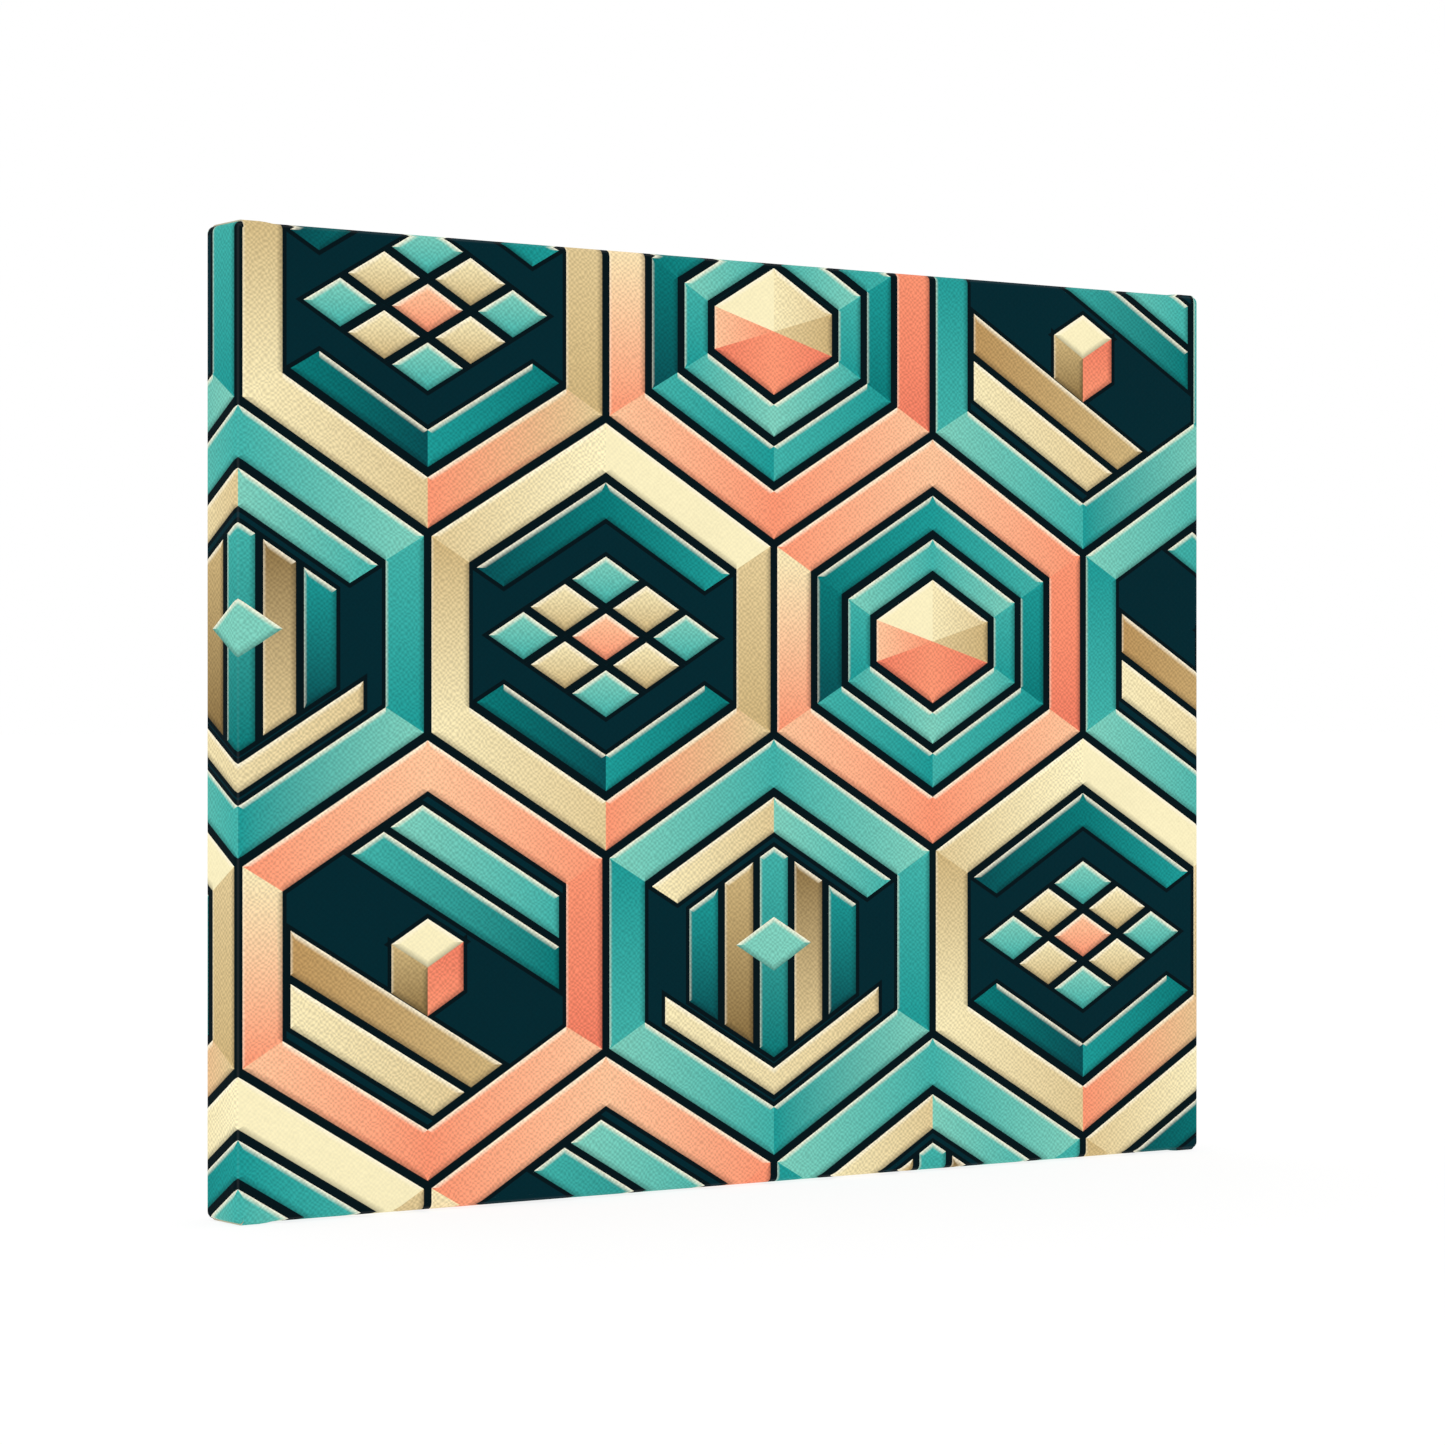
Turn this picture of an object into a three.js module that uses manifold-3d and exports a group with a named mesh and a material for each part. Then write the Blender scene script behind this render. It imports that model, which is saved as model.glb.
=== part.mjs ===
// A printed picture canvas, gallery-wrapped over a wooden stretcher frame.
// Millimetres, +Z up, +X to the viewer's right, the printed face looks along -Y.
// The origin is under the middle of the bottom edge, so the part stands on z = 0.
import * as THREE from 'three';
import { mergeVertices } from 'three/addons/utils/BufferGeometryUtils.js';
import Module from 'manifold-3d';

const wasm = await Module();
wasm.setup();

// ---- Driving dimensions -------------------------------------------------

const WIDTH = 355.6; // 14 inches, over the canvas
const HEIGHT = 279.4; // 11 inches, over the canvas
const DEPTH = 19.05; // 3/4 inch, printed face to the canvas turned over behind
const GAP = 0.3; // clearance between pieces that touch

const CANVAS = 0.5; // primed cotton with its ink
const CORNER_RADIUS = 2.3; // canvas round an outer corner, seen from the front
const EDGE_RADIUS = 1.9; // canvas over the front and back edges
const RETURN_WIDTH = 24; // canvas turned over on to the back

const BAR_WIDTH = 38; // stretcher bar, outer edge to inner edge
const LIP_WIDTH = 5; // raised outer lip that carries the canvas
const BEVEL_DROP = 2.4; // how far the face falls away from the canvas
const ARRIS = 0.8; // planed-off inner arrises of the bar
const FRONT_CHEEK = 4.2; // wood in front of the first tongue layer
const MIDDLE_CHEEK = 1.4; // wood between the two tongue layers
const SLOT = 3.2; // depth of a tongue layer

const KEY_LENGTH = 42; // corner key, narrow end to wide end
const KEY_TIP = 5; // width of the narrow end
const KEY_HEAD = 13; // width of the wide end
const KEY_INSERTION = 21; // how far a seated key runs into the neighbouring bar

const STAPLE_CROWN = 12; // over the legs
const STAPLE_LEG = 6; // crown and leg together
const STAPLE_WIRE = 0.6; // wire, measured away from the canvas
const STAPLE_FACE = 1.2; // wire, measured along the canvas
const STAPLE_CORNER = 26; // first staple of a row, from the outer corner
const STAPLES_LONG = 8; // in the top and bottom rows
const STAPLES_SHORT = 6; // in the side rows

const HANGER_LENGTH = 44; // sawtooth hanger, over its tabs
const HANGER_TAB = 7; // flat tab at each end
const HANGER_RAMP = 2.5; // tab to bridge
const HANGER_SHEET = 0.8; // sheet steel
const HANGER_RISE = 1.7; // how far the bridge stands off
const HANGER_MARGIN = 2.6; // bare wood above and below it
const TOOTH_COUNT = 6; // notches in the lower edge
const TOOTH_DEPTH = 2; // depth of a notch

const NAIL_LENGTH = 9; // shank under the head
const NAIL_SHANK = 1.3; // shank diameter
const NAIL_HEAD = 3.4; // head diameter
const NAIL_DOME = 0.9; // head height
const NAIL_CROWN = 0.7; // where the dome turns in, as a share of the head's radius
const NAIL_CHEEK = 0.8; // and of its height

const BUMPER_HEIGHT = 3.1; // rubber dot that keeps the part off the wall
const BUMPER_MARGIN = 2.6; // bare wood above and below it
const BUMPER_FROM_SIDE = 64; // its middle, from the side of the part

const ROUND = 20; // sides of a nail or its bore
const EDGE_STEPS = 4; // facets round a front or back edge of the canvas
const CORNER_STEPS = 3; // facets round a corner seen from the front
const DOME_STEPS = 6; // facets up a bumper's dome
const WELD = 1e-5; // points closer than this are one point

// ---- Sizes that follow --------------------------------------------------

const WOOD_INSET = CANVAS + GAP; // overall size to the wood
const WOOD_WIDTH = WIDTH - 2 * WOOD_INSET;
const WOOD_HEIGHT = HEIGHT - 2 * WOOD_INSET;
const WOOD_BACK = DEPTH - WOOD_INSET; // y of the back of the bars
const SEAT = WOOD_BACK + GAP; // y where hardware rests on the wood
const TOTAL_DEPTH = SEAT + BUMPER_HEIGHT;
const LAYERS = [
  WOOD_INSET + FRONT_CHEEK, // tongues of the top and bottom bars
  WOOD_INSET + FRONT_CHEEK + SLOT + MIDDLE_CHEEK, // tongues of the side bars
];
const KEY_SLOPE = (KEY_HEAD - KEY_TIP) / KEY_LENGTH;
const STAPLE_LINE = RETURN_WIDTH / 2; // row of staples, from the outer edge
const STAPLE_HEAD = DEPTH + GAP + STAPLE_WIRE; // y of the top of a crown
const BARE_MIDDLE = (RETURN_WIDTH + WOOD_INSET + BAR_WIDTH) / 2; // bare wood, from the edge
const BARE_WIDTH = WOOD_INSET + BAR_WIDTH - RETURN_WIDTH;
const HANGER_HEIGHT = BARE_WIDTH - 2 * HANGER_MARGIN;
const BUMPER_RADIUS = BARE_WIDTH / 2 - BUMPER_MARGIN;
const NAIL_FROM_MIDDLE = (HANGER_LENGTH - HANGER_TAB) / 2;
const OVERSHOOT = 1; // how far a cutter runs past what it cuts

// The four sides in the order of a quarter turn about Y, from the top clockwise.
const SIDES = [
  { name: 'top', run: WIDTH, across: HEIGHT, layer: 0, staples: STAPLES_LONG },
  { name: 'right', run: HEIGHT, across: WIDTH, layer: 1, staples: STAPLES_SHORT },
  { name: 'bottom', run: WIDTH, across: HEIGHT, layer: 0, staples: STAPLES_LONG },
  { name: 'left', run: HEIGHT, across: WIDTH, layer: 1, staples: STAPLES_SHORT },
];
const turn = (index) => (index * Math.PI) / 2;

// ---- Solids -------------------------------------------------------------

function solid(geometry) {
  const bare = geometry.clone();
  bare.deleteAttribute('normal');
  bare.deleteAttribute('uv');
  const merged = mergeVertices(bare, WELD);
  return new wasm.Manifold(new wasm.Mesh({
    numProp: 3,
    vertProperties: Float32Array.from(merged.attributes.position.array),
    triVerts: Uint32Array.from(merged.index.array),
  }));
}

function geometryOf(manifold) {
  const { vertProperties, triVerts } = manifold.getMesh();
  const geometry = new THREE.BufferGeometry();
  geometry.setAttribute('position', new THREE.BufferAttribute(vertProperties, 3));
  geometry.setIndex(new THREE.BufferAttribute(triVerts, 1));
  geometry.computeVertexNormals();
  return geometry;
}

function outline(points) {
  return new THREE.Shape(points.map(([x, y]) => new THREE.Vector2(x, y)));
}

// A flat outline in x and z, filled from one depth to another.
function plate(points, yFront, yBack) {
  const settings = { depth: yBack - yFront, bevelEnabled: false };
  const geometry = new THREE.ExtrudeGeometry(outline(points), settings);
  return geometry.rotateX(Math.PI / 2).translate(0, yBack, 0);
}

function block(x0, x1, z0, z1, yFront, yBack) {
  return plate([[x0, z0], [x1, z0], [x1, z1], [x0, z1]], yFront, yBack);
}

// The whole outer form, shrunk on every face, with its edges and corners rounded.
function roundedForm(inset) {
  const edge = EDGE_RADIUS - inset;
  const corner = CORNER_RADIUS - EDGE_RADIUS;
  const x = WIDTH / 2 - EDGE_RADIUS;
  const z = HEIGHT / 2 - EDGE_RADIUS;
  const shape = new THREE.Shape();
  shape.moveTo(x, corner - z);
  shape.absarc(x - corner, z - corner, corner, 0, Math.PI / 2);
  shape.absarc(corner - x, z - corner, corner, Math.PI / 2, Math.PI);
  shape.absarc(corner - x, corner - z, corner, Math.PI, 1.5 * Math.PI);
  shape.absarc(x - corner, corner - z, corner, 1.5 * Math.PI, 2 * Math.PI);
  const geometry = new THREE.ExtrudeGeometry(shape, {
    depth: DEPTH - 2 * EDGE_RADIUS,
    bevelThickness: edge,
    bevelSize: edge,
    bevelSegments: EDGE_STEPS,
    curveSegments: CORNER_STEPS,
  });
  return solid(geometry.rotateX(Math.PI / 2).translate(0, DEPTH - EDGE_RADIUS, 0));
}

function joined(geometries) {
  return geometries.map(solid).reduce((whole, next) => whole.add(next));
}

// ---- Staples ------------------------------------------------------------

function stapleGeometry() {
  const half = STAPLE_CROWN / 2;
  const leg = half - STAPLE_WIRE;
  const point = STAPLE_WIRE; // length of the chisel point
  const shoulder = STAPLE_WIRE / 2;
  const shape = outline([
    [shoulder - half, 0], [-half, -shoulder], [-half, point - STAPLE_LEG],
    [-leg, -STAPLE_LEG], [-leg, -STAPLE_WIRE], [leg, -STAPLE_WIRE],
    [leg, -STAPLE_LEG], [half, point - STAPLE_LEG], [half, -shoulder], [half - shoulder, 0],
  ]);
  const geometry = new THREE.ExtrudeGeometry(shape, { depth: STAPLE_FACE, bevelEnabled: false });
  return geometry.translate(0, 0, -STAPLE_FACE / 2);
}

// Where a side's staples sit along it.
function stapleRow({ run, staples }) {
  const reach = run / 2 - STAPLE_CORNER;
  return Array.from({ length: staples }, (_, i) => reach * ((2 * i) / (staples - 1) - 1));
}

function stapleHoles() {
  const holes = [];
  const legMiddle = (STAPLE_CROWN - STAPLE_WIRE) / 2;
  SIDES.forEach((side, index) => {
    const z = side.across / 2 - STAPLE_LINE;
    const halfHeight = STAPLE_FACE / 2 + GAP;
    for (const middle of stapleRow(side)) {
      for (const leg of [middle - legMiddle, middle + legMiddle]) {
        const halfWidth = STAPLE_WIRE / 2 + GAP;
        const hole = block(
          leg - halfWidth, leg + halfWidth, z - halfHeight, z + halfHeight,
          STAPLE_HEAD - STAPLE_LEG - GAP, DEPTH + OVERSHOOT);
        holes.push(hole.rotateY(turn(index)));
      }
    }
  });
  return joined(holes);
}

// ---- Canvas -------------------------------------------------------------

// One sheet over the face, the four edges and a band of the back, pierced by the staples.
// The opening is cut from inside the hollow form out through its back.
function canvas(holes) {
  const x = WIDTH / 2 - RETURN_WIDTH;
  const z = HEIGHT / 2 - RETURN_WIDTH;
  const inside = DEPTH / 2;
  const opening = solid(block(-x, x, -z, z, inside, DEPTH + OVERSHOOT));
  return roundedForm(0).subtract(roundedForm(CANVAS)).subtract(opening).subtract(holes);
}

// ---- Stretcher bars -----------------------------------------------------

// The bar's section, drawn in depth and height, run out along x.
function barSection(run, outerEdge) {
  const inner = outerEdge - BAR_WIDTH;
  const points = [
    [WOOD_INSET, outerEdge], [WOOD_INSET, outerEdge - LIP_WIDTH],
    [WOOD_INSET + BEVEL_DROP, inner + ARRIS], [WOOD_INSET + BEVEL_DROP + ARRIS, inner],
    [WOOD_BACK - ARRIS, inner], [WOOD_BACK, inner + ARRIS], [WOOD_BACK, outerEdge],
  ];
  const settings = { depth: run, bevelEnabled: false };
  const geometry = new THREE.ExtrudeGeometry(outline(points), settings);
  const axes = new THREE.Matrix4().makeBasis(
    new THREE.Vector3(0, 1, 0), new THREE.Vector3(0, 0, 1), new THREE.Vector3(1, 0, 0));
  return geometry.applyMatrix4(axes).translate(-run / 2, 0, 0);
}

// What is cut from a bar at one end: the seat of its neighbour's tongue, which
// runs on as the pocket of the key that lies along the neighbour.
function cornerCuts(end, halfRun, outerEdge, neighbourLayer) {
  const layer = LAYERS[neighbourLayer];
  const inner = outerEdge - BAR_WIDTH;
  const tongueEdge = halfRun - BAR_WIDTH - GAP;
  const tip = inner + KEY_INSERTION + GAP;
  const mouth = inner - OVERSHOOT;
  const widthAt = (z) => KEY_TIP + KEY_SLOPE * (inner + KEY_INSERTION - z) + GAP;
  const seat = [
    [tongueEdge, mouth], [halfRun + OVERSHOOT, mouth],
    [halfRun + OVERSHOOT, outerEdge + OVERSHOOT], [tongueEdge, outerEdge + OVERSHOOT],
  ];
  const pocket = [
    [tongueEdge - widthAt(tip), tip], [tongueEdge - widthAt(mouth), mouth],
    [tongueEdge + OVERSHOOT, mouth], [tongueEdge + OVERSHOOT, tip],
  ];
  const mirrored = (points) => points.map(([x, z]) => [end * x, z]);
  return [seat, pocket].map((points) => plate(mirrored(points), layer, layer + SLOT));
}

function stretcherBar(index, holes) {
  const { run, across, layer } = SIDES[index];
  const halfRun = run / 2 - WOOD_INSET;
  const outerEdge = across / 2 - WOOD_INSET;
  const inner = outerEdge - BAR_WIDTH;
  const setBack = GAP / Math.SQRT2; // half the clearance of the mitre, along x
  const mitred = plate([
    [setBack - halfRun, outerEdge], [setBack - halfRun + BAR_WIDTH, inner],
    [halfRun - BAR_WIDTH - setBack, inner], [halfRun - setBack, outerEdge],
  ], WOOD_INSET, WOOD_BACK);
  const tongue = block(
    -halfRun, halfRun, inner, outerEdge, LAYERS[layer] + GAP, LAYERS[layer] + SLOT - GAP);
  const cuts = [-1, 1].flatMap((end) => cornerCuts(end, halfRun, outerEdge, 1 - layer));
  const turned = (geometries) => geometries.map((geometry) => geometry.rotateY(turn(index)));
  return joined(turned([mitred, tongue]))
    .intersect(solid(barSection(run, outerEdge).rotateY(turn(index))))
    .intersect(roundedForm(WOOD_INSET))
    .subtract(joined(turned(cuts)))
    .subtract(holes);
}

// ---- Corner keys --------------------------------------------------------

// Lies along a bar's inner edge with its narrow end towards the end given (-1 or 1
// along x); the origin is where its straight edge meets the narrow end.
function keyGeometry(end) {
  const points = [[0, 0], [-end * KEY_LENGTH, 0], [-end * KEY_LENGTH, -KEY_HEAD], [0, -KEY_TIP]];
  return plate(points, GAP, SLOT - GAP);
}

// ---- Hanging hardware ---------------------------------------------------

// A strip with a flat tab at each end and a raised bridge with a notched lower edge.
function hanger() {
  const half = HANGER_LENGTH / 2;
  const tab = half - HANGER_TAB;
  const bridge = tab - HANGER_RAMP;
  const path = [
    [-half, 0], [-tab, 0], [-bridge, HANGER_RISE],
    [bridge, HANGER_RISE], [tab, 0], [half, 0],
  ];
  const back = path.map(([x, y]) => [x, y + HANGER_SHEET]).reverse();
  const settings = { depth: HANGER_HEIGHT, bevelEnabled: false };
  const strip = new THREE.ExtrudeGeometry(outline([...path, ...back]), settings);
  const low = -HANGER_HEIGHT / 2;
  strip.translate(0, 0, low);
  const pitch = (2 * bridge) / TOOTH_COUNT;
  const notches = Array.from({ length: TOOTH_COUNT }, (_, i) => {
    const middle = pitch * (i + 0.5) - bridge;
    const side = pitch / 2 - GAP;
    const points = [[middle - side, low - GAP], [middle + side, low - GAP], [middle, low + TOOTH_DEPTH]];
    return plate(points, HANGER_RISE - OVERSHOOT, HANGER_RISE + HANGER_SHEET + OVERSHOOT);
  });
  const bores = [-1, 1].map((end) => nailBore().translate(end * NAIL_FROM_MIDDLE, 0, 0));
  return solid(strip).subtract(joined([...notches, ...bores]));
}

// Clearance for a nail whose head bears on the hanger's tab.
function nailBore() {
  const radius = NAIL_SHANK / 2 + GAP;
  const deep = NAIL_LENGTH + GAP;
  const bore = new THREE.CylinderGeometry(radius, radius, deep + OVERSHOOT, ROUND);
  return bore.translate(0, HANGER_SHEET + GAP - (deep - OVERSHOOT) / 2, 0);
}

// Along Y, with the underside of the head at the origin.
function nailGeometry() {
  const shank = NAIL_SHANK / 2;
  const head = NAIL_HEAD / 2;
  const points = [
    [0, -NAIL_LENGTH], [shank, 2 * NAIL_SHANK - NAIL_LENGTH], [shank, 0],
    [head, 0], [head, NAIL_DOME / 3], [NAIL_CROWN * head, NAIL_CHEEK * NAIL_DOME], [0, NAIL_DOME],
  ];
  return new THREE.LatheGeometry(points.map(([r, y]) => new THREE.Vector2(r, y)), ROUND);
}

function bumperGeometry() {
  const rim = BUMPER_HEIGHT / 3;
  const dome = BUMPER_HEIGHT - rim;
  const points = [new THREE.Vector2(0, 0), new THREE.Vector2(BUMPER_RADIUS, 0)];
  for (let i = 0; i <= DOME_STEPS; i += 1) {
    const angle = (i / DOME_STEPS) * (Math.PI / 2);
    const r = i === DOME_STEPS ? 0 : BUMPER_RADIUS * Math.cos(angle);
    points.push(new THREE.Vector2(r, rim + dome * Math.sin(angle)));
  }
  return new THREE.LatheGeometry(points, 2 * ROUND);
}

// ---- Assembly -----------------------------------------------------------

const MATERIALS = {
  canvas: { color: 0x5aa89e, roughness: 0.75, metalness: 0 },
  pine: { color: 0xdcbf92, roughness: 0.65, metalness: 0 },
  beech: { color: 0xc79f6c, roughness: 0.6, metalness: 0 },
  staple: { color: 0xb9bcc0, roughness: 0.35, metalness: 1 },
  hanger: { color: 0xc4c0b4, roughness: 0.35, metalness: 1 },
  rubber: { color: 0x2b2b2b, roughness: 0.8, metalness: 0 },
};

function named(name, geometry, finish) {
  const mesh = new THREE.Mesh(geometry, new THREE.MeshStandardMaterial(MATERIALS[finish]));
  mesh.name = name;
  return mesh;
}

const group = new THREE.Group();
group.position.set(0, -TOTAL_DEPTH / 2, HEIGHT / 2);

const holes = stapleHoles();
group.add(named('printed_canvas', geometryOf(canvas(holes)), 'canvas'));

const hangerZ = HEIGHT / 2 - BARE_MIDDLE;
const nailBores = joined([-1, 1].map(
  (end) => nailBore().translate(end * NAIL_FROM_MIDDLE, SEAT, hangerZ)));
const barHoles = holes.add(nailBores);

SIDES.forEach((side, index) => {
  const bar = stretcherBar(index, barHoles);
  group.add(named(`stretcher_bar_${side.name}`, geometryOf(bar), 'pine'));

  const onSide = new THREE.Group();
  onSide.rotation.y = turn(index);
  group.add(onSide);

  stapleRow(side).forEach((x, i) => {
    const staple = named(`staple_${side.name}_${i + 1}`, stapleGeometry(), 'staple');
    staple.position.set(x, STAPLE_HEAD, side.across / 2 - STAPLE_LINE);
    onSide.add(staple);
  });

  const keyX = side.run / 2 - WOOD_INSET - BAR_WIDTH + KEY_INSERTION;
  const keyZ = side.across / 2 - WOOD_INSET - BAR_WIDTH - GAP;
  for (const end of [-1, 1]) {
    const neighbour = SIDES[(index + end + SIDES.length) % SIDES.length].name;
    const key = named(`corner_key_${side.name}_bar_${neighbour}_end`, keyGeometry(end), 'beech');
    key.position.set(end * keyX, LAYERS[side.layer], keyZ);
    onSide.add(key);
  }
});

const sawtooth = named('sawtooth_hanger', geometryOf(hanger()), 'hanger');
sawtooth.position.set(0, SEAT, hangerZ);
group.add(sawtooth);

for (const [end, name] of [[-1, 'left'], [1, 'right']]) {
  const nail = named(`hanger_nail_${name}`, nailGeometry(), 'hanger');
  nail.position.set(end * NAIL_FROM_MIDDLE, SEAT + HANGER_SHEET + GAP, hangerZ);
  group.add(nail);

  const bumper = named(`wall_bumper_${name}`, bumperGeometry(), 'rubber');
  bumper.position.set(end * (WIDTH / 2 - BUMPER_FROM_SIDE), SEAT, BARE_MIDDLE - HEIGHT / 2);
  group.add(bumper);
}

export default group;
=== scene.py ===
# %% [markdown]
# # A stretched canvas, from bars to print
# A stretched canvas is four bevelled pine bars, slotted together at the mitres, with one sheet of
# printed cotton pulled over them and stapled behind. Beech keys in the corner slots spread the
# frame to take up slack. The imported frame fixes every place and size, so it is loaded first, and
# the sizes of the cloth are taken from its box.

# %% Load the imported frame
import math

import bpy
import numpy as np
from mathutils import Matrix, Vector
from mathutils.geometry import delaunay_2d_cdt


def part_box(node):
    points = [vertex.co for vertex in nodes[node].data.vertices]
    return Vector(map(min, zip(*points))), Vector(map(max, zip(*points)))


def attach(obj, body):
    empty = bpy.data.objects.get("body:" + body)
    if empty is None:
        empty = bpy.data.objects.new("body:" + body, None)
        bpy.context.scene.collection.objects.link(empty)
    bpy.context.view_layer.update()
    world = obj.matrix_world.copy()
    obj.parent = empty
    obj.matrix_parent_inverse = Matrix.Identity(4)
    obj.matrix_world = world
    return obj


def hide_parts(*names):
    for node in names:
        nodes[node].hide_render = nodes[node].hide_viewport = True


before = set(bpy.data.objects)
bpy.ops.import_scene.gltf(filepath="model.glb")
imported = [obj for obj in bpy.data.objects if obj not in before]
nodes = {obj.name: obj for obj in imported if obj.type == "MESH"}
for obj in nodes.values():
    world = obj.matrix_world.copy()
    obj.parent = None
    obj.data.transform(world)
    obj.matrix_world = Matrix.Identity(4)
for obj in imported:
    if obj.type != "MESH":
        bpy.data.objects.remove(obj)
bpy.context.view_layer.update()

MM = 0.001

# %% [markdown]
# ## The studio
# The object stands on a white floor in even, soft light, like a product on a light table, so a
# white world is the only lamp. The floor is a lit white acrylic sheet: mostly its own light, so
# it stays white out to the horizon and still takes a faint shadow. The view transform is
# Standard, so an ink shows as it was mixed.

# %% Colours and nodes
def linear(hex_colour):
    """An sRGB hex colour as linear red, green and blue."""
    parts = [int(hex_colour[i:i + 2], 16) / 255 for i in (1, 3, 5)]
    return [c / 12.92 if c <= 0.04045 else ((c + 0.055) / 1.055) ** 2.4 for c in parts]


def rgba(hex_colour):
    """The same with an alpha of 1, as sockets and colour ramps take it."""
    return (*linear(hex_colour), 1)


def new_material(name):
    """A material with nodes, and its shader."""
    material = bpy.data.materials.new(name)
    material.use_nodes = True
    return material, material.node_tree.nodes["Principled BSDF"]


def add(material, kind, links=(), **settings):
    """Adds a node. A setting like _1 sets input 1, one with a capital sets the input of that name,
    and any other sets a property. links are (input of this node, the output that feeds it)."""
    node = material.node_tree.nodes.new("ShaderNode" + kind)
    for key, value in settings.items():
        if key[0] == "_":
            node.inputs[int(key[1:])].default_value = value
        elif key[0].isupper():
            node.inputs[key.replace("_", " ")].default_value = value
        else:
            setattr(node, key, value)
    for socket, source in links:
        material.node_tree.links.new(source, node.inputs[socket])
    return node


def feed(material, shader, socket, source):
    """Lets an output drive one of the shader's inputs."""
    material.node_tree.links.new(source, shader.inputs[socket])


print("mid grey in linear light", [round(v, 3) for v in linear("#808080")])

# %% Light and floor
FLOOR_DROP = 0.6 * MM  # leaves room for the corner folds, which hang 0.46 mm below the frame
FAR = 40.0  # metres to the floor's edge, so that it meets the horizon
world = bpy.data.worlds.new("studio")
bpy.context.scene.world = world
world.use_nodes = True
world.node_tree.nodes["Background"].inputs["Color"].default_value = (1, 1, 1, 1)
world.node_tree.nodes["Background"].inputs["Strength"].default_value = 1.0

floor_mesh = bpy.data.meshes.new("floor")
floor_mesh.from_pydata(
    [(-FAR, -FAR, -FLOOR_DROP), (FAR, -FAR, -FLOOR_DROP), (FAR, FAR, -FLOOR_DROP),
     (-FAR, FAR, -FLOOR_DROP)], [], [(0, 1, 2, 3)])
floor = bpy.data.objects.new("floor", floor_mesh)
bpy.context.scene.collection.objects.link(floor)
# Opal acrylic, cast and lit from inside: no gloss, near white wherever nothing shades it.
acrylic, shader = new_material("lit white acrylic floor")
shader.inputs["Base Color"].default_value = (0.16, 0.16, 0.16, 1)
shader.inputs["Roughness"].default_value = 1.0
shader.inputs["Specular IOR Level"].default_value = 0.0
shader.inputs["Emission Color"].default_value = (1, 1, 1, 1)
shader.inputs["Emission Strength"].default_value = 0.86
floor_mesh.materials.append(acrylic)
print("floor", FLOOR_DROP / MM, "mm below the frame")

# %% Camera
CAMERA_AT = (-0.7138, -1.0123, 0.1397)  # in front, to the left, level with the middle
CAMERA_TURN = math.atan2(0.819, 0.573) - math.pi / 2  # looks this far to the right
camera = bpy.data.objects.new("camera", bpy.data.cameras.new("camera"))
bpy.context.scene.collection.objects.link(camera)
camera.location = CAMERA_AT
camera.rotation_euler = (math.pi / 2, 0, CAMERA_TURN)
camera.data.lens = 101.1
camera.data.sensor_width = 36
bpy.context.scene.camera = camera
bpy.context.scene.view_settings.view_transform = "Standard"
print("camera", [round(v, 4) for v in camera.location], camera.data.lens, "mm")

# %% [markdown]
# ## The print
# The cloth carries one picture over its face and round its sides. The picture is a plain pattern
# made by rule: hexagon cells in a honeycomb, each with a frame of flat bars in the thirty-degree
# slopes of an isometric drawing, and one of four simple fillings. It could be a texture, but then
# its edges would blur; instead it is drawn as flat shapes, and the cloth's own mesh is cut along
# their edges, so each ink ends exactly where a face ends. Places are in millimetres on the
# cloth: x runs right from the left fold and y down from the top fold.

# %% Inks and the drawing pen
INK = {
    "pale": "#f8edc0", "cream": "#f2e4b5", "sand": "#dcc593", "khaki": "#c9ae79",
    "tan": "#b6905a", "brown": "#846a3e", "peach": "#f9c097", "coral": "#f69370",
    "ember": "#e97b60", "mint": "#7ccab8", "aqua": "#40ada4", "teal": "#1b9591",
    "deep": "#067573", "abyss": "#034b50", "ground": "#00272f", "line": "#021318",
    "glow": "#fff6dc", "white": "#f4f2ec",
}
LINEAR = {name: np.array(linear(code)) for name, code in INK.items()}
SLOPE = 0.585  # fall of a slanted edge for each millimetre across
SLOPE_SLACK = 0.08  # an edge this near the slope counts as slanted
SHORT = 2.0  # an upright edge shorter than this catches no light
RIM_WIDTH = 1.3  # black line round every shape
MITRE = 0.35  # lower bound that keeps the mitre of a sharp corner from running away
# A strip inside an edge: its ink, its share of the colour at the edge, and where it fades out.
GLOW = (LINEAR["glow"], 0.9, 1.6)  # along an upper edge
SHINE = (LINEAR["glow"], 0.4, 1.0)  # along a left edge
SHADE = (LINEAR["line"], 0.5, 1.9)  # along the other edges
FADES = {"S": (0.0, 1.0), "E": (1.0, 0.0)}  # down or to the right
# How much of the stippled thread shows through: rich ink shows it best.
TOOTH = {"ink": 1.0, "pale": 0.25, "line": 0.2, "ground": 0.25, "primer": 0.35}
rims, shapes = [], []  # in the order they are drawn, each a dict


def offset(points, distance):
    """The outline moved outwards by distance, with mitred corners. Points run clockwise as seen."""
    before = np.roll(points, 1, 0)
    d1, d2 = points - before, np.roll(points, -1, 0) - points
    d1 /= np.linalg.norm(d1, axis=1)[:, None]
    d2 /= np.linalg.norm(d2, axis=1)[:, None]
    n1, n2 = np.stack([d1[:, 1], -d1[:, 0]], 1), np.stack([d2[:, 1], -d2[:, 0]], 1)
    bisector = n1 + n2
    scale = np.maximum((bisector ** 2).sum(1) / 2, MITRE)
    return points + bisector / scale[:, None] * distance


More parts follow.
